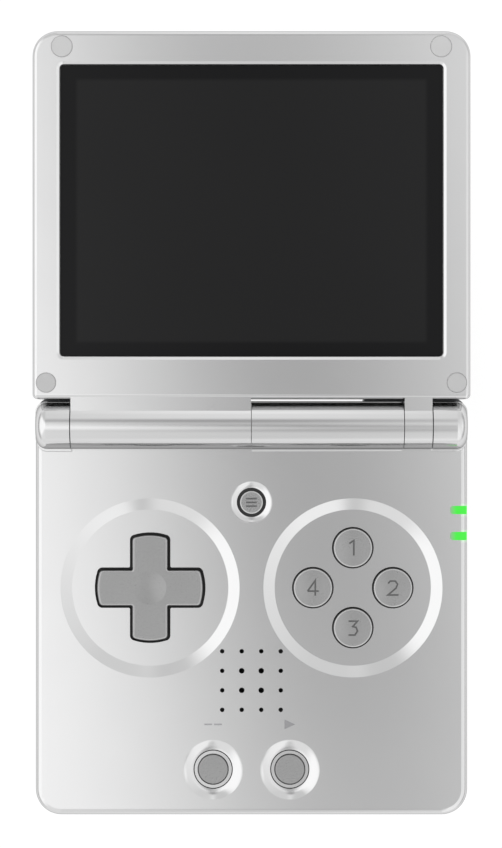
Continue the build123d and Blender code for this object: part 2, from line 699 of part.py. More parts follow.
def speaker_gasket():
    z0 = BOARD_Z1 + 3.2
    ring = disc(0, SPEAKER_Y, SPEAKER_R, z0, CEILING)
    return ring - disc(0, SPEAKER_Y, SPEAKER_R - 1.1, z0 - 1, CEILING + 1)


def light_pipe(y):
    """Green light pipe: a slice of the base's own outer form, over the face's edge."""
    return base_form() & light_slot(y)


def usb_port():
    w, h = USB_SIZE
    z = BOARD_Z1 + h / 2
    shell = slot_y(USB_X, z, w, h, -2.8, BASE_REAR - 0.15, h / 2 - 0.02)
    shell -= slot_y(USB_X, z, w - 0.6, h - 0.6, -2.2, BASE_REAR + 1, h / 2 - 0.32)
    tongue = block(USB_X - 3.3, USB_X + 3.3, -2.4, BASE_REAR - 1.0, z - 0.35, z + 0.35)
    return shell + tongue


def video_port():
    w, h = VIDEO_SIZE
    z = BOARD_Z1 + h / 2
    shell = slot_y(VIDEO_X, z, w, h, -2.8, BASE_REAR - 0.15, 0.5)
    shell -= slot_y(VIDEO_X, z, w - 0.7, h - 0.7, -2.2, BASE_REAR + 1, 0.3)
    tongue = block(VIDEO_X - 4.0, VIDEO_X + 4.0, -2.4, BASE_REAR - 1.2, z + 0.1, z + 0.7)
    return shell + tongue


def headphone_jack():
    y0 = -REACH + 0.3
    y1 = y0 + JACK_LENGTH + 0.4
    body = block(JACK_X - 3.2, JACK_X + 3.2, -REACH + WALL + 0.1, y1, JACK_Z - 2.4, JACK_Z + 2.4)
    nose = rod_y(JACK_X, y0, -REACH + WALL + 0.2, JACK_Z, JACK_NOSE_R)
    return body + nose - rod_y(JACK_X, y0 - 1, y0 + JACK_LENGTH, JACK_Z, JACK_BORE_R)


def card_slot():
    y0 = CARD_Y - 6.8
    y1 = CARD_Y + 6.8
    shell = block(29.5, HALF - WALL - 0.1, y0, y1, BOARD_Z1, BOARD_Z1 + 1.7)
    return shell - block(30.5, HALF, CARD_Y - 5.6, CARD_Y + 5.6, BOARD_Z1 + 0.4, BOARD_Z1 + 1.4)


def power_switch():
    body = block(38.0, 40.8, POWER_Y - 2.2, POWER_Y + 2.2, BOARD_Z1, BOARD_Z1 + 1.8)
    return body + block(40.7, 41.35, POWER_Y - 0.8, POWER_Y + 0.8, BOARD_Z1 + 0.3, BOARD_Z1 + 1.3)


def volume_switch():
    pair = []
    for y in (VOLUME_Y - 4.4, VOLUME_Y + 4.4):
        body = block(-40.8, -38.0, y - 1.7, y + 1.7, BOARD_Z1, BOARD_Z1 + 1.8)
        pair.append(body + block(-41.4, -40.7, y - 0.6, y + 0.6, BOARD_Z1 + 0.3, BOARD_Z1 + 1.3))
    return pair


def key_middle(x0, x1):
    return (x0 + min(x1, 42.5)) / 2


def shoulder_switches():
    switches = []
    for x0, x1 in KEY_X:
        x = key_middle(x0, x1)
        body = block(x - 2.2, x + 2.2, -8.4, -5.2, BOARD_Z1, BOARD_Z1 + 2.4)
        body += rod_y(x, -5.3, -4.7, BOARD_Z1 + 1.4, 0.7)
        switches += both_sides(body)
    return switches


def shoulder_pins():
    return both_sides(rod_x(21.6, 43.0, KEY_PIN_Y, KEY_PIN_Z, KEY_PIN_R))


# --- hinge ------------------------------------------------------------------------------
def hinge_cartridge():
    body = rod_x(CARTRIDGE_X0, MIDDLE_X1 - 0.2, 0, AXIS_Z, KNUCKLE_BORE_R - FIT)
    body &= block(CARTRIDGE_X0 - 1, MIDDLE_X1, -5, 5, AXIS_Z - 2.9, AXIS_Z + 5)
    return body - rod_x(23.8, MIDDLE_X1 + 1, 0, AXIS_Z, SHAFT_R + FIT)


def hex_bar(x0, x1, r):
    outline = Plane.YZ * RegularPolygon(r, 6)
    return Pos(x0, 0, AXIS_Z) * extrude(outline, x1 - x0)


def hinge_cam_shaft():
    """Shaft that the cartridge's cam turns; its hexagon drives the lid's right knuckle."""
    shaft = rod_x(24.0, 40.6, 0, AXIS_Z, SHAFT_R)
    return shaft + hex_bar(MIDDLE_X1 + 0.1, CAP_RIGHT_X - 0.05, SHAFT_HEX_R)


def hinge_pin():
    return rod_x(-42.0, LEFT_PIN_X1, 0, AXIS_Z, LEFT_PIN_R)


def display_flex_base():
    """Flat cable from the board up into the middle knuckle, where it is rolled up."""
    x0, x1 = FLEX_BASE_X
    bend_z = BOARD_Z1 + 3.6
    board_y = -4.0
    roll = rod_x(0.3, x1 + 1, 0, AXIS_Z, FLEX_ROLL_R) - rod_x(0, x1 + 2, 0, AXIS_Z, FLEX_ROLL_R - FLEX_T)
    drop = block(x0, x1, -FLEX_ROLL_R, -FLEX_ROLL_R + FLEX_T, bend_z, AXIS_Z)
    flat = block(x0, x1, board_y, -FLEX_ROLL_R + FLEX_T, bend_z, bend_z + FLEX_T)
    end = block(x0, x1, board_y, board_y + FLEX_T, BOARD_Z1, bend_z + FLEX_T)
    return roll + drop + flat + end


def display_flex_lid():
    """The same cable from the lid's left knuckle to the display."""
    x0, x1 = FLEX_LID_X
    z1 = AXIS_Z + FLEX_ROLL_R
    y1 = LID_REAR + 5.0
    z_panel = AXIS_Z - 1.0
    panel_edge = PANEL_Y - PANEL[1] / 2
    roll = rod_x(x0 - 1, -0.3, 0, AXIS_Z, FLEX_ROLL_R) - rod_x(x0 - 2, 1, 0, AXIS_Z, FLEX_ROLL_R - FLEX_T)
    flat = block(x0, x1, 0, y1, z1 - FLEX_T, z1)
    drop = block(x0, x1, y1 - FLEX_T, y1, z_panel, z1)
    end = block(x0, x1, y1 - FLEX_T, panel_edge, z_panel, z_panel + FLEX_T)
    return roll + flat + drop + end


# --- lid --------------------------------------------------------------------------------
def lid_knuckle(x0, x1):
    """Barrel on the lid, with the web that joins it to the lid at face level."""
    barrel = rod_x(x0, x1, 0, AXIS_Z, BARREL_R)
    web = block(x0, x1, 0, LID_REAR + WALL / 2, LID_PART + 0.4, LID_FACE - 0.15)
    return barrel + web


def lens_pocket():
    """Window, ledge and bevelled rim of the screen opening."""
    w = LENS_W + 2 * LENS_GAP
    h = LENS_H + 2 * LENS_GAP
    floor = LID_FACE - LENS_RECESS - LENS_T - TAPE_T
    pocket = Pos(0, LENS_Y, floor) * extrude(RectangleRounded(w, h, LENS_CORNER_R + LENS_GAP), 10)
    rim = RectangleRounded(w + 2 * LENS_BEVEL, h + 2 * LENS_BEVEL, LENS_CORNER_R + LENS_GAP + LENS_BEVEL)
    low = RectangleRounded(w, h, LENS_CORNER_R + LENS_GAP)
    foot = LID_FACE - LENS_BEVEL_DEPTH
    bevel = loft([Pos(0, LENS_Y, foot) * low, Pos(0, LENS_Y, LID_FACE) * rim], ruled=True)
    window = Pos(0, LENS_Y, floor - 5) * extrude(RectangleRounded(WINDOW_W, WINDOW_H, 1.0), 6)
    return [pocket, bevel, window]


def lid_front_bezel():
    form = lid_form()
    bezel = form & block(-50, 50, 0, 90, LID_PART, LID_FACE + 1)
    bezel -= lid_cavity(LID_PART - 1, LID_FACE - WALL)
    ledge_z = LID_FACE - LENS_RECESS - LENS_T - TAPE_T - LEDGE_T
    frame = Rectangle(LENS_W + 3.0, LENS_H + 3.0)
    bezel += Pos(0, LENS_Y, ledge_z) * extrude(frame, LID_FACE - WALL - ledge_z + 0.1)
    for x, y, r in lid_screw_places():
        bezel += disc(x, y, r + 0.9, LID_PART, LID_FACE - WALL + 0.1) & form
    bezel += lid_knuckle(CAP_LEFT_X + 2 * SEAM, MIDDLE_X0 - SEAM)
    bezel += lid_knuckle(MIDDLE_X1 + SEAM, CAP_RIGHT_X - SEAM)
    bezel -= lens_pocket()
    for x, y, r in lid_screw_places():
        bezel -= disc(x, y, r, LID_FACE - 2.4, LID_FACE + 1)
        bezel -= disc(x, y, SCREW_R + FIT, LID_PART - 1, LID_FACE)
    bezel -= rod_x(CAP_LEFT_X - 1, LEFT_PIN_X1 + 0.3, 0, AXIS_Z, LEFT_PIN_R + FIT)
    bezel -= rod_x(-28.5, MIDDLE_X0 + 1, 0, AXIS_Z, KNUCKLE_BORE_R)
    bezel -= hex_bar(MIDDLE_X1, CAP_RIGHT_X, SHAFT_HEX_R + 0.06)
    cable_x0, cable_x1 = FLEX_LID_X
    cable_z = AXIS_Z + FLEX_ROLL_R
    bezel -= block(cable_x0 - 0.6, cable_x1 + 0.6, 1.0, LID_REAR + WALL + 1, cable_z - 0.6, cable_z + 0.4)
    return bezel - seam_groove(LID_REAR, REACH, LID_PART, LID_REAR_CORNER_R, LID_CORNER_R)


def lid_screw_places():
    """Each lid screw, with the radius of the counterbore that its rubber cover fills."""
    return [(sx * x, y, r) for x, y, r in (UPPER_BUMPER, LOWER_BUMPER) for sx in (-1, 1)]


def lid_back_cover():
    form = lid_form()
    cover = form & block(-50, 50, 0, 90, LID_BACK - 1, LID_PART)
    floor = LID_BACK + WALL
    cover -= lid_cavity(floor, LID_PART + 1)
    for x, y, r in lid_screw_places():
        cover += disc(x, y, POST_R, floor - 0.1, LID_PART) & form
    for x, y, r in lid_screw_places():
        cover -= disc(x, y, SCREW_R + FIT, floor + 0.4, LID_PART + 1)
    return cover - seam_groove(LID_REAR, REACH, LID_PART, LID_REAR_CORNER_R, LID_CORNER_R)


def screen_lens():
    z1 = LID_FACE - LENS_RECESS
    lens = Pos(0, LENS_Y, z1 - LENS_T) * extrude(RectangleRounded(LENS_W, LENS_H, LENS_CORNER_R), LENS_T)
    return chamfer(lens.edges().group_by(Axis.Z)[-1], 0.12)


def lens_tape():
    z1 = LID_FACE - LENS_RECESS - LENS_T
    tape = RectangleRounded(LENS_W, LENS_H, LENS_CORNER_R) - RectangleRounded(WINDOW_W, WINDOW_H, 1.0)
    return Pos(0, LENS_Y, z1 - TAPE_T) * extrude(tape, TAPE_T)


def display_panel():
    w, h, t = PANEL
    z1 = LID_FACE - LENS_RECESS - LENS_T - TAPE_T - LEDGE_T - 0.1
    return slab(-w / 2, w / 2, PANEL_Y - h / 2, PANEL_Y + h / 2, z1 - t, z1, 0.6, 0.6)


def display_shield():
    w, h, t = PANEL
    z1 = LID_FACE - LENS_RECESS - LENS_T - TAPE_T - LEDGE_T - 0.1 - t
    plate = block(-w / 2, w / 2, PANEL_Y - h / 2, PANEL_Y + h / 2, z1 - 0.5, z1)
    return plate - [disc(x, PANEL_Y, 5.0, z1 - 2, z1 + 1) for x in (-18.0, 18.0)]


def lid_screws():
    screws = []
    for x, y, r in lid_screw_places():
        head = disc(x, y, 1.7, LID_FACE - 2.4, LID_FACE - 1.2)
        shank = disc(x, y, SCREW_R, LID_BACK + WALL + 0.8, LID_FACE - 2.4)
        screws.append(head + shank - cross_slot(x, y, LID_FACE - 1.7, 1.0))
    return screws


def bumper_pair(place):
    """Round rubber covers over two lid screws; the closed lid lands on them."""
    x, y, r = place
    pad = disc(x, y, r - FIT, LID_FACE - 1.1, LID_FACE + BUMPER_PROUD)
    pad = fillet(pad.edges().group_by(Axis.Z)[-1], 0.3)
    return both_sides(pad)


def lid_magnet():
    """Bar magnet by the lid's far edge, for the closed-lid sensor."""
    floor = LID_BACK + WALL
    return block(-25.0, -15.0, REACH - 5.0, REACH - 2.0, floor, floor + 2.0)


# --- controls ---------------------------------------------------------------------------
def dpad():
    """Cross with a flange under the face and a socket for the ball that it rocks on."""
    flange_z = DISH_CEILING - DPAD_ROCK_GAP - FLANGE_T
    cap = extrude(cross(DPAD_SPAN, DPAD_ARM, DPAD_TIP_R), DPAD_TOP - flange_z)
    cap = fillet(cap.edges().group_by(Axis.Z)[-1], 0.55)
    cap = Pos(0, 0, flange_z) * cap
    cap += disc(0, 0, DPAD_FLANGE_R, flange_z, flange_z + FLANGE_T)
    cap += disc(0, 0, DPAD_BALL_R + 0.8, DPAD_BALL_Z, flange_z + 0.1)
    ball_r = (DPAD_DIMPLE_R ** 2 + DPAD_DIMPLE_DEPTH ** 2) / (2 * DPAD_DIMPLE_DEPTH)
    cap -= Pos(0, 0, DPAD_TOP + ball_r - DPAD_DIMPLE_DEPTH) * Sphere(ball_r)
    cap -= Pos(0, 0, DPAD_BALL_Z) * Sphere(DPAD_BALL_R + FIT)
    return Pos(-DISH_X, DISH_Y, 0) * cap


def dpad_pivot():
    return Pos(-DISH_X, DISH_Y, DPAD_BALL_Z) * Sphere(DPAD_BALL_R)


def round_button(x, y, r, top, ceiling, flange_r, stem_r, stem_z, crown, rim_r):
    """Round button: crowned cap, flange under the face, and a stem down to its switch."""
    flange_top = ceiling - 0.15
    flange_low = flange_top - FLANGE_T
    rim = top - crown
    side = Polyline(
        (0, top), (0, stem_z), (stem_r, stem_z), (stem_r, flange_low),
        (flange_r, flange_low), (flange_r, flange_top), (r, flange_top), (r, rim),
    )
    if crown:
        crown_r = (r * r + crown * crown) / (2 * crown)
        half_way = top - crown_r + sqrt(crown_r ** 2 - r ** 2 / 4)
        over = ThreePointArc((r, rim), (r / 2, half_way), (0, top))
    else:
        over = Line((r, top), (0, top))
    profile = make_face(side.edges() + over.edges())
    corner = profile.vertices().sort_by_distance((r, rim))[0]
    profile = fillet(corner, rim_r)
    return Pos(x, y, 0) * revolve(Plane.XZ * profile, Axis.Z)


def face_button(side, numeral):
    x, y = face_button_places()[side]
    stem_z = DOME_TOP + PRESS_GAP
    button = round_button(x, y, BUTTON_R, BUTTON_TOP, DISH_CEILING, 5.2, 2.0, stem_z, 0.28, 0.4)
    mark = Pos(x, y, BUTTON_TOP - 0.2) * extrude(glyph(NUMERALS[numeral], 3.1), 1)
    return button - mark


def menu_button():
    top = FACE - 0.15
    button = round_button(0, MENU_Y, MENU_R, top, CEILING, 3.8, 1.2, BOARD_Z1 + 2.55, 0, 0.25)
    bars = glyph([[(-0.5, y), (0.5, y)] for y in (-0.35, 0.0, 0.35)], 2.2)
    return button - Pos(0, MENU_Y, top - 0.12) * extrude(bars, 1)


def small_button(x):
    top = FACE - SMALL_BOWL_DEPTH + 0.25
    ceiling = CEILING - 0.7
    return round_button(x, SMALL_Y, SMALL_R, top, ceiling, 4.0, 1.6, DOME_TOP + PRESS_GAP, 0, 0.25)


def shoulder_button(x0, x1, outer):
    """Shoulder button of the right side: a shell that swings on its pin, with a presser."""
    r_out = 3.0 if outer else 0.6
    outline = Rectangle(x1 - x0, KEY_Y1 - KEY_Y0)
    corners = outline.vertices().group_by(Axis.Y)[-1].sort_by(Axis.X)
    outline = fillet(corners[-1], r_out)
    inner_corner = outline.vertices().group_by(Axis.Y)[-1].sort_by(Axis.X)[0]
    outline = fillet(inner_corner, 0.6)
    key = Pos((x0 + x1) / 2, (KEY_Y0 + KEY_Y1) / 2, KEY_Z0) * extrude(outline, KEY_Z1 - KEY_Z0)
    key = fillet(key.faces().sort_by(Axis.Z)[-1].edges().filter_by(lambda e: e.center().Y > 0), 0.55)
    w = KEY_WALL
    key -= block(x0 + w, x1 - w, KEY_Y0 - 1, KEY_Y1 - w, KEY_Z0 + w, KEY_Z1 - w)
    if outer:
        key += block(41.4, 42.4, KEY_Y0, KEY_Y1 - 1, KEY_Z0 + 0.2, KEY_PIN_Z + 1.6)
    x = key_middle(x0, x1)
    key += block(x - 1.5, x + 1.5, -4.1, KEY_Y1 - 1, BOARD_Z1 + 0.8, BOARD_Z1 + 2.0)
    key += block(x - 1.5, x + 1.5, KEY_Y0, KEY_Y1 - 1, BOARD_Z1 + 1.9, KEY_Z1 - 1)
    hole_x1 = 43.05 if outer else x1 + 1
    return key - rod_x(x0 - 1, hole_x1, KEY_PIN_Y, KEY_PIN_Z, KEY_PIN_R + FIT)


def shoulder_buttons():
    """All four, by node name."""
    keys = {}
    for place, (x0, x1) in zip(("inner", "outer"), KEY_X):
        right, left = both_sides(shoulder_button(x0, x1, place == "outer"))
        keys["shoulder_right_" + place] = right
        keys["shoulder_left_" + place] = left
    return keys


def power_button():
    key = slot_x(POWER_Y, SIDE_KEY_Z, POWER_LENGTH, SIDE_KEY_H, 41.9, HALF + SIDE_PROUD, 1.0)
    flange = slot_x(POWER_Y, SIDE_KEY_Z, POWER_LENGTH + 2, SIDE_KEY_H + 0.8, 41.9, HALF - WALL - 0.15, 0.6)
    return key + flange


def volume_rocker():
    key = slot_x(VOLUME_Y, SIDE_KEY_Z, VOLUME_LENGTH, SIDE_KEY_H, -HALF - SIDE_PROUD, -41.9, 1.0)
    flange = slot_x(VOLUME_Y, SIDE_KEY_Z, VOLUME_LENGTH + 2, SIDE_KEY_H + 0.8, -42.5, -41.9, 0.6)
    return key + flange


# --- the assembly -----------------------------------------------------------------------
def nodes():
    parts = {
        "base_front_cover": base_front_cover(),
        "base_back_cover": base_back_cover(),
        "hinge_cap_left": hinge_cap_left(),
        "hinge_cap_right": hinge_cap_right(),
        "hinge_barrel": hinge_barrel(),
        "battery_cover": battery_cover(),
        "battery_cover_screw": battery_cover_screw(),
        "battery": battery(),
        "rubber_feet": rubber_feet(),
        "base_screws": base_screws(),
        "main_board": main_board(),
        "processor_shield": processor_shield(),
        "dpad_membrane": dpad_membrane(),
        "face_button_membrane": face_button_membrane(),
        "start_select_membrane": start_select_membrane(),
        "menu_switch": menu_switch(),
        "speaker": speaker(),
        "speaker_gasket": speaker_gasket(),
        "power_light_pipe": light_pipe(POWER_LIGHT_Y),
        "charge_light_pipe": light_pipe(CHARGE_LIGHT_Y),
        "usb_port": usb_port(),
        "video_port": video_port(),
        "headphone_jack": headphone_jack(),
        "card_slot": card_slot(),
        "power_switch": power_switch(),
        "volume_switch": volume_switch(),
        "shoulder_switches": shoulder_switches(),
        "shoulder_pins": shoulder_pins(),
        "hinge_cartridge": hinge_cartridge(),
        "hinge_pin": hinge_pin(),
        "display_flex_base": display_flex_base(),
        "hinge_cam_shaft": hinge_cam_shaft(),
        "display_flex_lid": display_flex_lid(),
        "lid_front_bezel": lid_front_bezel(),
        "lid_back_cover": lid_back_cover(),
        "screen_lens": screen_lens(),
        "lens_tape": lens_tape(),
        "display_panel": display_panel(),
        "display_shield": display_shield(),
        "lid_screws": lid_screws(),
        "lid_bumpers_upper": bumper_pair(UPPER_BUMPER),
        "lid_bumpers_lower": bumper_pair(LOWER_BUMPER),
        "lid_magnet": lid_magnet(),
        "dpad": dpad(),
        "dpad_pivot": dpad_pivot(),
        "menu_button": menu_button(),
        "select_button": small_button(-SMALL_X),
        "start_button": small_button(SMALL_X),
        "power_button": power_button(),
        "volume_rocker": volume_rocker(),
    }
    for numeral, side in zip("1234", ("top", "right", "bottom", "left")):
        parts["face_button_" + side] = face_button(side, numeral)
    parts.update(shoulder_buttons())
    return parts


def as_one(shape):
    """A node's shape: one solid, or a group of separate ones."""
    solids = []
    for piece in shape if isinstance(shape, list) else [shape]:
        solids += piece.solids()
    return solids[0] if len(solids) == 1 else Compound(children=solids)


os.makedirs("parts", exist_ok=True)
for name, shape in nodes().items():
    export_step(as_one(shape), f"parts/{name}.step")
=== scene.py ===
import bpy
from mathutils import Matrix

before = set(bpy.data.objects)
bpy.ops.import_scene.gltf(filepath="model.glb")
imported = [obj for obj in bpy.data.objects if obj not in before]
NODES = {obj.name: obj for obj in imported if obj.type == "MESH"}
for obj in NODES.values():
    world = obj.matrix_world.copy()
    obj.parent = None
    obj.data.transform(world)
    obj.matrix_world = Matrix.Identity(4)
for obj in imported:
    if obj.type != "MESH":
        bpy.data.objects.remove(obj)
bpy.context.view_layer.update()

# Clamshell handheld game console, opened flat, in satin silver plastic.
# Metres. X runs along the hinge, +Y is the lid's side, the base stands on Z = 0.
MM = 0.001

# the photograph's camera, straight above the open console
CAMERA_PLACE = (-0.1 * MM, 0.36 * MM, 557.4 * MM)
CAMERA_LENS = 111.5

# levels and places that the finishes need
FACE_Z = 16.4 * MM
DISH_X = 20.9 * MM
DISH_Y = -33.4 * MM
BUTTON_PITCH = 8.24 * MM
BUTTON_R = 4.0 * MM
BUTTON_TOP = FACE_Z + 0.55 * MM
NUMERAL_FLOOR = BUTTON_TOP - 0.2 * MM
DPAD_TOP = FACE_Z + 0.5 * MM
MENU_Y = -15.79 * MM
MENU_R = 2.41 * MM
MENU_MARK_FLOOR = FACE_Z - 0.27 * MM
MARK_X = 7.9 * MM
MARK_Y = -61.5 * MM
MARK_HALF = (2.4 * MM, 1.4 * MM)
MARK_FLOOR = FACE_Z - 0.12 * MM
HOLE_SHADE_DEPTH = 1.0 * MM          # depth in the face's holes below which their walls take painted near-black shade
WALL_X = 42.8 * MM              # the front cover's outer walls start here: sides,
WALL_FRONT = -78.8 * MM         # front
WALL_REAR = 3.3 * MM            # and rear
LENS_Y = 43.70 * MM
PANEL_HALF = (35.56 * MM, 26.67 * MM)
LIGHT_X0 = 40.9 * MM
LIGHT_Y = (-17.36 * MM, -22.72 * MM)
BOARD_TOP = 10.4 * MM
USB_X = -10.0 * MM
USB_SIZE = (8.94 * MM, 3.26 * MM)
VIDEO_X = 8.0 * MM
VIDEO_SIZE = (11.2 * MM, 3.4 * MM)
JACK_X = 30.0 * MM
JACK_Z = 11.6 * MM
JACK_COLLAR_R = 2.42 * MM
JACK_COLLAR_Y = -79.2 * MM      # the collar lies in front of this
VOLUME_Y = -27.0 * MM
VOLUME_MARK_OUT = 4.5 * MM      # from the rocker's middle to its plus and to its minus
VOLUME_MARK_BAR = (0.62 * MM, 0.13 * MM)
SIDE_KEY_Z = 11.1 * MM

# studio
LIGHT_LEVEL = 1.16
HORIZON_LEVEL = 0.85
FLOOR_SIZE = 6.0

BUTTON_PLACES = {
    "top": (DISH_X, DISH_Y + BUTTON_PITCH),
    "right": (DISH_X + BUTTON_PITCH, DISH_Y),
    "bottom": (DISH_X, DISH_Y - BUTTON_PITCH),
    "left": (DISH_X - BUTTON_PITCH, DISH_Y),
}


# --- node trees -------------------------------------------------------------------------
class Wire:
    """An output socket that can be used in sums."""

    def __init__(self, tree, socket):
        self.tree = tree
        self.socket = socket

    def math(self, operation, first, second=0.0):
        return self.tree.node("Math", {"operation": operation}, {0: first, 1: second})

    def __add__(self, other):
        return self.math("ADD", self, other)

    __radd__ = __add__

    def __sub__(self, other):
        return self.math("SUBTRACT", self, other)

    def __rsub__(self, other):
        return self.math("SUBTRACT", other, self)

    def __mul__(self, other):
        return self.math("MULTIPLY", self, other)

    __rmul__ = __mul__

    def __truediv__(self, other):
        return self.math("DIVIDE", self, other)

    def __abs__(self):
        return self.math("ABSOLUTE", self)

    def root(self):
        return self.math("SQRT", self)

    def at_least(self, low):
        return self.math("MAXIMUM", self, low)

    def at_most(self, high):
        return self.math("MINIMUM", self, high)

    def rise(self, low, high):
        """0 below low, 1 above high, and a smooth rise between."""
        settings = {"interpolation_type": "SMOOTHSTEP"}
        return self.tree.node("MapRange", settings, {"Value": self, "From Min": low, "From Max": high})


class Tree:
    """A node tree that is written as expressions."""

    def __init__(self, tree):
        self.tree = tree

    def node(self, kind, settings=None, values=None, output=0):
        made = self.tree.nodes.new("ShaderNode" + kind)
        for name, value in (settings or {}).items():
            setattr(made, name, value)
        for name, value in (values or {}).items():
            self.feed(made.inputs[name], value)
        return Wire(self, made.outputs[output])

    def feed(self, socket, value):
        if isinstance(value, Wire):
            self.tree.links.new(value.socket, socket)
        else:
            socket.default_value = value

    def split(self, vector):
        made = vector.tree.node("SeparateXYZ", None, {0: vector})
        return [Wire(self, out) for out in made.socket.node.outputs]

    def colour_mix(self, factor, first, second):
        """Blend of two colours, each a tuple or a Wire."""
        first, second = [c if isinstance(c, Wire) else (*c, 1) for c in (first, second)]
        return self.node("Mix", {"data_type": "RGBA"}, {0: factor, 6: first, 7: second}, output=2)


class Finish(Tree):
    """One material: a Principled shader and the nodes that feed it."""

    def __init__(self, name):
        self.material = bpy.data.materials.new(name)
        self.material.use_nodes = True
        super().__init__(self.material.node_tree)
        self.shader = self.tree.nodes["Principled BSDF"]
        self.place = self.node("TexCoord", output=3)

    def set(self, **values):
        """Values of the shader's sockets, an underscore standing for a space."""
        for name, value in values.items():
            socket = self.shader.inputs[name.replace("_", " ")]
            if isinstance(value, tuple):
                value = (*value, 1)
            self.feed(socket, value)

    def grain(self, size, detail=2.0, stretch=None):
        """Noise from 0 to 1 with lumps of that size, longer where stretched."""
        place = self.place
        if stretch:
            place = self.node("Mapping", None, {"Vector": place, "Scale": stretch})
        values = {"Vector": place, "Scale": 1 / size, "Detail": detail}
        return self.node("TexNoise", None, values)

    def from_axis(self, x0, y0):
        """Distance from the upright line through that place."""
        x, y = self.split(self.place)[:2]
        return ((x - x0) * (x - x0) + (y - y0) * (y - y0)).root()

    def bump(self, height, depth):
        """Relief of that depth in metres where height goes from 0 to 1."""
        values = {"Height": height, "Distance": depth}
        self.set(Normal=self.node("Bump", None, values))


# --- finishes ---------------------------------------------------------------------------
def light_glow(finish):
    """Green light that spills from the two light pipes onto the shell's rounded edge."""
    x, y, z = finish.split(finish.place)
    near = None
    for light_y in LIGHT_Y:
        spill = 1 - abs(y - light_y).rise(0.85 * MM, 1.6 * MM)
        near = spill if near is None else near + spill
    return near * x.rise(42.6 * MM, 43.6 * MM) * z.rise(10 * MM, 14 * MM)


def silver_plastic():
    finish = Finish("satin_silver_plastic")
    flake = finish.grain(0.16 * MM)
    cloud = finish.grain(9 * MM, detail=3)
    finish.colour = finish.colour_mix(cloud, (0.668, 0.668, 0.672), (0.690, 0.690, 0.690))
    finish.set(
        Base_Color=finish.colour,
        Metallic=1.0,
        Roughness=0.12 + 0.04 * flake,
        Specular_Tint=(0.45, 0.45, 0.45),
    )
    finish.bump(flake, 0.0006 * MM)
    return finish


def face_silver_plastic():
    """The silver of the front cover: painted near-black shade down inside its holes, the two marks sunk
    in it a little darker, and green light on it beside the two light pipes."""
    finish = silver_plastic()
    finish.material.name = "satin_silver_plastic_of_face"
    x, y, z = finish.split(finish.place)
    # painted shade: the walls deep inside the face's holes are coloured near black, with no metal
    painted_hole_shade = 1 - z.rise(FACE_Z - HOLE_SHADE_DEPTH - 0.06 * MM, FACE_Z - HOLE_SHADE_DEPTH)
    soft = 0.1 * MM
    painted_hole_shade = painted_hole_shade * (1 - abs(x).rise(WALL_X, WALL_X + soft))
    painted_hole_shade = painted_hole_shade * y.rise(WALL_FRONT, WALL_FRONT + soft) * (1 - y.rise(WALL_REAR, WALL_REAR + soft))
    near_mark = 1 - abs(abs(x) - MARK_X).rise(MARK_HALF[0], MARK_HALF[0] + soft)
    near_mark = near_mark * (1 - abs(y - MARK_Y).rise(MARK_HALF[1], MARK_HALF[1] + soft))
    mark = near_mark * (1 - z.rise(MARK_FLOOR + 0.02 * MM, MARK_FLOOR + 0.06 * MM))
    colour = finish.colour_mix(mark, finish.colour, (0.47, 0.47, 0.48))
    glow = light_glow(finish)
    finish.set(
        Base_Color=finish.colour_mix(painted_hole_shade, colour, (0.02, 0.02, 0.02)),
        Metallic=1 - painted_hole_shade,
        Emission_Color=finish.colour_mix(glow, (0.0, 0.0, 0.0), (0.01, 0.20, 0.01)),
        Emission_Strength=1.0,
    )
    return finish


def gray_plastic():
    finish = Finish("satin_gray_plastic")
    pore = finish.grain(0.12 * MM)
    cloud = finish.grain(5 * MM)
    finish.colour = finish.colour_mix(cloud, (0.298, 0.298, 0.298), (0.323, 0.323, 0.323))
    finish.set(
        Base_Color=finish.colour,
        Metallic=0.5,
        Roughness=0.24 + 0.08 * pore,
    )
    finish.bump(pore, 0.003 * MM)
    return finish


def marked_gray_plastic(name, place, radius, mark_reach, mark_floor):
    """The gray of a round button, with a painted highlight round its rim, painted shade on its outermost
    edge, and dark in its sunk mark.
    """
    finish = gray_plastic()
    finish.material.name = name
    z = finish.split(finish.place)[2]
    out = finish.from_axis(*place)
    # painted highlight: a pale ring on the button's rounded rim
    painted_rim_highlight = out.rise(radius - 0.36 * MM, radius - 0.22 * MM)
    painted_rim_highlight = painted_rim_highlight * (1 - out.rise(radius - 0.12 * MM, radius - 0.05 * MM))
    # painted shade: the button's outermost edge, beside the gap round it, is coloured near black
    side = out.rise(radius - 0.07 * MM, radius - 0.03 * MM)
    mark = 1 - z.rise(mark_floor + 0.03 * MM, mark_floor + 0.06 * MM)
    mark = mark * (1 - out.rise(mark_reach, mark_reach + 0.1 * MM))
    colour = finish.colour_mix(painted_rim_highlight, finish.colour, (0.57, 0.57, 0.57))
    colour = finish.colour_mix(side, colour, (0.05, 0.05, 0.05))
    finish.set(Base_Color=finish.colour_mix(mark, colour, (0.13, 0.13, 0.13)))
    return finish


def cross_gray_plastic():
    """The gray of the direction pad, with a painted highlight along its upper edge and painted shade down
    its sides.
    """
    finish = gray_plastic()
    finish.material.name = "satin_gray_plastic_of_pad"
    z = finish.split(finish.place)[2]
    outside = finish.from_axis(-DISH_X, DISH_Y).rise(3.9 * MM, 4.1 * MM)
    # painted highlight: a pale band along the pad's upper edge
    painted_rim_highlight = outside * (1 - z.rise(DPAD_TOP - 0.04 * MM, DPAD_TOP - 0.02 * MM))
    # painted shade: the pad's sides below its top are coloured near black
    side = outside * (1 - z.rise(DPAD_TOP - 0.3 * MM, DPAD_TOP - 0.22 * MM))
    colour = finish.colour_mix(painted_rim_highlight, finish.colour, (0.45, 0.45, 0.45))
    finish.set(Base_Color=finish.colour_mix(side, colour, (0.03, 0.03, 0.03)))
    return finish


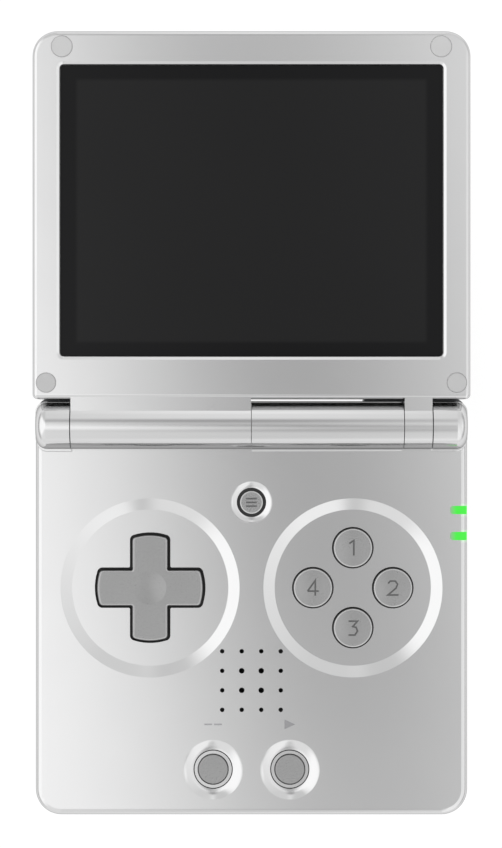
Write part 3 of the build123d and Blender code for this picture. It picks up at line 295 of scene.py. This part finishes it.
def dark_plastic():
    finish = Finish("moulded_dark_plastic")
    spark = finish.grain(0.25 * MM, detail=3)
    finish.colour = finish.colour_mix(spark, (0.05, 0.05, 0.054), (0.075, 0.075, 0.08))
    finish.set(
        Base_Color=finish.colour,
        Roughness=0.42 + 0.15 * spark,
    )
    finish.bump(spark, 0.012 * MM)
    return finish


def lit_green():
    """Light pipe: brightest at its outer end, fading towards its inner one."""
    finish = Finish("lit_green_light_pipe")
    x = finish.split(finish.place)[0]
    reach = x.rise(LIGHT_X0 - 0.2 * MM, LIGHT_X0 + 1.5 * MM)
    cloud = finish.grain(0.8 * MM)
    finish.set(
        Base_Color=finish.colour_mix(reach, (0.20, 0.28, 0.20), (0.02, 0.16, 0.02)),
        Roughness=0.25 + 0.1 * cloud,
        Emission_Color=finish.colour_mix(reach, (0.07, 0.20, 0.07), (0.03, 0.70, 0.025)),
        Emission_Strength=1.0,
    )
    return finish


def rubber(name, colour, lighter):
    finish = Finish(name)
    pore = finish.grain(0.2 * MM, detail=4)
    dust = finish.grain(2.5 * MM, detail=3)
    finish.set(
        Base_Color=finish.colour_mix(dust, colour, lighter),
        Roughness=0.62 + 0.2 * pore,
    )
    finish.bump(pore, 0.01 * MM)
    return finish


def screen_glass():
    """Dark lens: a black border printed behind it, and the display seen through it."""
    finish = Finish("dark_screen_glass")
    x, y = finish.split(finish.place)[:2]
    edge = 0.5 * MM
    inside_x = 1 - abs(x).rise(PANEL_HALF[0] - edge, PANEL_HALF[0] + edge)
    inside_y = 1 - abs(y - LENS_Y).rise(PANEL_HALF[1] - edge, PANEL_HALF[1] + edge)
    panel = inside_x * inside_y
    cloud = finish.grain(30 * MM, detail=1)
    level = panel * (0.75 + 0.25 * cloud)
    finish.set(
        Base_Color=finish.colour_mix(level, (0.0088, 0.0088, 0.0093), (0.0165, 0.0165, 0.0168)),
        Roughness=0.12,
        Specular_IOR_Level=0.1,
    )
    return finish


def steel(name, level, streak=(1, 1, 12)):
    finish = Finish(name)
    brush = finish.grain(0.3 * MM, detail=3, stretch=streak)
    finish.colour = finish.colour_mix(brush, (level - 0.05,) * 3, (level + 0.05,) * 3)
    finish.set(
        Base_Color=finish.colour,
        Metallic=1.0,
        Roughness=0.24 + 0.2 * brush,
    )
    finish.bump(brush, 0.002 * MM)
    return finish


def port_steel(name, x0, size):
    """Steel shell of a port, round a black tongue with gold contacts on it."""
    finish = steel(name, 0.52)
    x, _, z = finish.split(finish.place)
    width, height = size
    across = abs(x - x0)
    up = abs(z - (BOARD_TOP + height / 2))
    tongue = 1 - across.rise(width / 2 - 0.75 * MM, width / 2 - 0.7 * MM)
    tongue = tongue * (1 - up.rise(height / 2 - 0.75 * MM, height / 2 - 0.7 * MM))
    contact = across.math("PINGPONG", across, 0.3 * MM).rise(0.12 * MM, 0.16 * MM)
    contact = contact * (1 - across.rise(width / 2 - 1.5 * MM, width / 2 - 1.45 * MM))
    inside = finish.colour_mix(contact, (0.02, 0.02, 0.02), (0.72, 0.48, 0.17))
    finish.set(
        Base_Color=finish.colour_mix(tongue, finish.colour, inside),
        Metallic=1 - tongue * (1 - contact),
    )
    return finish


def jack_plastic():
    """Black plastic of the headphone jack, with a polished steel collar round its mouth."""
    finish = dark_plastic()
    finish.material.name = "dark_plastic_of_jack"
    x, y, z = finish.split(finish.place)
    out = ((x - JACK_X) * (x - JACK_X) + (z - JACK_Z) * (z - JACK_Z)).root()
    collar = 1 - out.rise(JACK_COLLAR_R, JACK_COLLAR_R + 0.03 * MM)
    collar = collar * (1 - y.rise(JACK_COLLAR_Y, JACK_COLLAR_Y + 0.1 * MM))
    finish.set(
        Base_Color=finish.colour_mix(collar, finish.colour, (0.62, 0.60, 0.56)),
        Metallic=collar,
        Roughness=0.5 - 0.28 * collar,
    )
    return finish


def bar_mask(along, up, half_length, half_height):
    """1 inside a small rectangle on a side wall, 0 outside it."""
    soft = 0.03 * MM
    inside = 1 - along.rise(half_length, half_length + soft)
    return inside * (1 - up.rise(half_height, half_height + soft))


def volume_gray_plastic():
    """Gray of the volume rocker, with a pale plus and a pale minus printed near its ends."""
    finish = gray_plastic()
    finish.material.name = "satin_gray_plastic_of_volume"
    y, z = finish.split(finish.place)[1:]
    up = abs(z - SIDE_KEY_Z)
    from_plus = abs(y - (VOLUME_Y + VOLUME_MARK_OUT))
    from_minus = abs(y - (VOLUME_Y - VOLUME_MARK_OUT))
    long_half, short_half = VOLUME_MARK_BAR
    plus = bar_mask(from_plus, up, long_half, short_half) + bar_mask(from_plus, up, short_half, long_half)
    minus = bar_mask(from_minus, up, long_half, short_half)
    marks = (plus + minus).at_most(1.0)
    finish.set(Base_Color=finish.colour_mix(marks, finish.colour, (0.62, 0.62, 0.62)))
    return finish


def circuit_board():
    """Green board with its copper traces showing under the varnish."""
    finish = Finish("green_circuit_board")
    values = {"Vector": finish.place, "Scale": 1 / (1.6 * MM)}
    trace = finish.node("TexVoronoi", {"feature": "DISTANCE_TO_EDGE"}, values).rise(0.02, 0.06)
    finish.set(
        Base_Color=finish.colour_mix(trace, (0.03, 0.20, 0.09), (0.015, 0.10, 0.05)),
        Roughness=0.3 + 0.1 * trace,
    )
    finish.bump(1 - trace, 0.02 * MM)
    return finish


def battery_wrap():
    finish = Finish("battery_foil")
    crease = finish.grain(6 * MM, detail=4, stretch=(1, 3, 1))
    finish.set(
        Base_Color=finish.colour_mix(crease, (0.42, 0.43, 0.46), (0.55, 0.56, 0.58)),
        Metallic=0.9,
        Roughness=0.28 + 0.15 * crease,
    )
    finish.bump(crease, 0.06 * MM)
    return finish


def flat_cable():
    """Amber film with its copper lines running along it."""
    finish = Finish("amber_flat_cable")
    x = finish.split(finish.place)[0]
    line = x.math("PINGPONG", x, 0.25 * MM).rise(0.08 * MM, 0.14 * MM)
    finish.set(
        Base_Color=finish.colour_mix(line, (0.42, 0.20, 0.04), (0.62, 0.34, 0.10)),
        Roughness=0.3 + 0.1 * line,
    )
    finish.bump(line, 0.01 * MM)
    return finish


def black_foam():
    finish = Finish("black_foam")
    values = {"Vector": finish.place, "Scale": 1 / (0.5 * MM)}
    cell = finish.node("TexVoronoi", None, values)
    finish.set(
        Base_Color=finish.colour_mix(cell, (0.02, 0.02, 0.02), (0.06, 0.06, 0.06)),
        Roughness=0.8 + 0.15 * cell,
    )
    finish.bump(cell, 0.08 * MM)
    return finish


def dress(finish, *names):
    for name in names:
        slots = NODES[name].data.materials
        slots.clear()
        slots.append(finish.material)


def dress_all():
    dress(face_silver_plastic(), "base_front_cover")
    dress(
        silver_plastic(),
        "base_back_cover", "hinge_cap_left", "hinge_cap_right", "battery_cover",
        "hinge_barrel", "lid_front_bezel", "lid_back_cover",
    )
    dress(gray_plastic(), "select_button", "start_button", "power_button")
    dress(volume_gray_plastic(), "volume_rocker")
    dress(jack_plastic(), "headphone_jack")
    dress(port_steel("usb_port_steel", USB_X, USB_SIZE), "usb_port")
    dress(port_steel("video_port_steel", VIDEO_X, VIDEO_SIZE), "video_port")
    dress(cross_gray_plastic(), "dpad")
    for side, place in BUTTON_PLACES.items():
        name = "gray_plastic_of_" + side + "_button"
        finish = marked_gray_plastic(name, place, BUTTON_R, 2.3 * MM, NUMERAL_FLOOR)
        dress(finish, "face_button_" + side)
    menu_place = (0, MENU_Y)
    menu = marked_gray_plastic("gray_plastic_of_menu", menu_place, MENU_R, 1.6 * MM, MENU_MARK_FLOOR)
    dress(menu, "menu_button")
    dark = dark_plastic()
    dress(
        dark,
        "shoulder_left_inner", "shoulder_left_outer", "shoulder_right_inner", "shoulder_right_outer",
        "menu_switch", "power_switch", "volume_switch", "shoulder_switches",
        "speaker", "dpad_pivot",
    )
    dress(lit_green(), "power_light_pipe", "charge_light_pipe")
    dress(rubber("black_rubber", (0.022, 0.022, 0.022), (0.04, 0.04, 0.04)), "rubber_feet")
    dress(rubber("light_gray_rubber", (0.53, 0.53, 0.53), (0.57, 0.57, 0.57)), "lid_bumpers_upper")
    dress(rubber("gray_rubber", (0.47, 0.47, 0.47), (0.51, 0.51, 0.51)), "lid_bumpers_lower")
    dress(
        rubber("silicone_rubber", (0.47, 0.47, 0.45), (0.53, 0.53, 0.51)),
        "dpad_membrane", "face_button_membrane", "start_select_membrane",
    )
    dress(screen_glass(), "screen_lens")
    dress(dark, "display_panel")
    dress(
        steel("plain_steel", 0.56),
        "card_slot", "processor_shield", "display_shield",
        "hinge_cartridge", "hinge_pin", "hinge_cam_shaft", "shoulder_pins", "lid_magnet",
    )
    dress(
        steel("black_zinc_steel", 0.3, streak=(1, 1, 1)),
        "base_screws", "battery_cover_screw", "lid_screws",
    )
    dress(circuit_board(), "main_board")
    dress(battery_wrap(), "battery")
    dress(flat_cable(), "display_flex_base", "display_flex_lid")
    dress(black_foam(), "speaker_gasket", "lens_tape")


# --- studio -----------------------------------------------------------------------------
def studio_light():
    """A pale studio: a large bright side at the left, a softer one at the right and one beyond
    the lid, with a dimmer gap between them, nearly overhead."""
    world = bpy.data.worlds.new("studio")
    world.use_nodes = True
    bpy.context.scene.world = world
    sky = Tree(world.node_tree)
    x, y, z = sky.split(sky.node("TexCoord", output=0))
    height = z.at_least(0.05)
    across = x / height
    along = y / height
    reach = abs(along)

    # nearly overhead: the dim gap, with a paler frame round it
    lean = along.at_least(-0.15).at_most(0.15)
    place = (across - 0.017 + 0.16 * lean) / (1 + 0.8 * reach)
    frame_band = reach.rise(0.06, 0.16) * (1 - reach.rise(0.2, 0.45))
    beyond = 0.60 * along.rise(0.42, 0.85) + 0.14 * along.rise(1.4, 2.4)
    before = 0.36 * (0 - along).rise(0.25, 0.8) + 0.22 * (0 - along).rise(1.6, 3.5)
    overhead = 0.30 + 0.18 * frame_band + beyond + before

    # the two sides, each a little brighter or dimmer round towards the lid
    away = (abs(across) + reach).rise(0.25, 0.6)
    turn = along / (abs(across) + 0.05)
    left = 1 - place.rise(-0.11, 0.0)
    left_level = 1.2 - away * (0.31 * abs(turn).rise(0.6, 1.5) + 0.2 * turn.rise(0.6, 1.5))
    right = place.rise(0.0, 0.105)
    right_level = 0.94 - away * (0.03 + 0.125 * turn.at_least(-1.2).at_most(1.2))
    right_level = right_level + 0.18 * (across - reach).rise(0.9, 1.6)
    level = overhead + (right_level - overhead) * right
    level = level + (left_level - level) * left
    # near the horizon: one even level, and a dimmer one past the two ends of the hinge
    level = HORIZON_LEVEL + (level - HORIZON_LEVEL) * z.rise(0.12, 0.3)
    level = level * (1 - 0.42 * abs(x).rise(0.5, 0.85) * (1 - z.rise(0.25, 0.5)))
    # seen by the camera itself, the background is plain white
    seen = sky.node("LightPath", output=0)
    level = LIGHT_LEVEL * level * (1 - seen) + seen
    background = world.node_tree.nodes["Background"]
    sky.feed(background.inputs["Color"], (1, 1, 1, 1))
    sky.feed(background.inputs["Strength"], level)


def floor():
    """Pale floor, which keeps a faint shadow of the console."""
    bpy.ops.mesh.primitive_plane_add(size=FLOOR_SIZE, location=(0, 0, 0))
    plane = bpy.context.object
    plane.name = "floor"
    finish = Finish("pale_floor")
    path = finish.node("LightPath").socket.node.outputs
    seen = Wire(finish, path["Is Camera Ray"]) + Wire(finish, path["Is Glossy Ray"])
    seen = (seen + Wire(finish, path["Is Transmission Ray"])).at_most(1.0)
    cloud = finish.grain(400 * MM)
    finish.set(
        Base_Color=finish.colour_mix(cloud, (0.17, 0.17, 0.17), (0.18, 0.18, 0.18)),
        Roughness=1.0,
        Specular_IOR_Level=0.0,
        Emission_Color=finish.colour_mix(seen, (0.5, 0.5, 0.5), (0.87, 0.87, 0.87)),
        Emission_Strength=1.0,
    )
    plane.data.materials.append(finish.material)


def camera():
    data = bpy.data.cameras.new("camera")
    data.sensor_width = 36
    data.lens = CAMERA_LENS
    data.clip_start = 0.01
    made = bpy.data.objects.new("camera", data)
    made.location = CAMERA_PLACE
    bpy.context.scene.collection.objects.link(made)
    bpy.context.scene.camera = made


bpy.ops.object.select_all(action="DESELECT")
dress_all()
floor()
camera()
studio_light()
bpy.context.scene.view_settings.view_transform = "Standard"
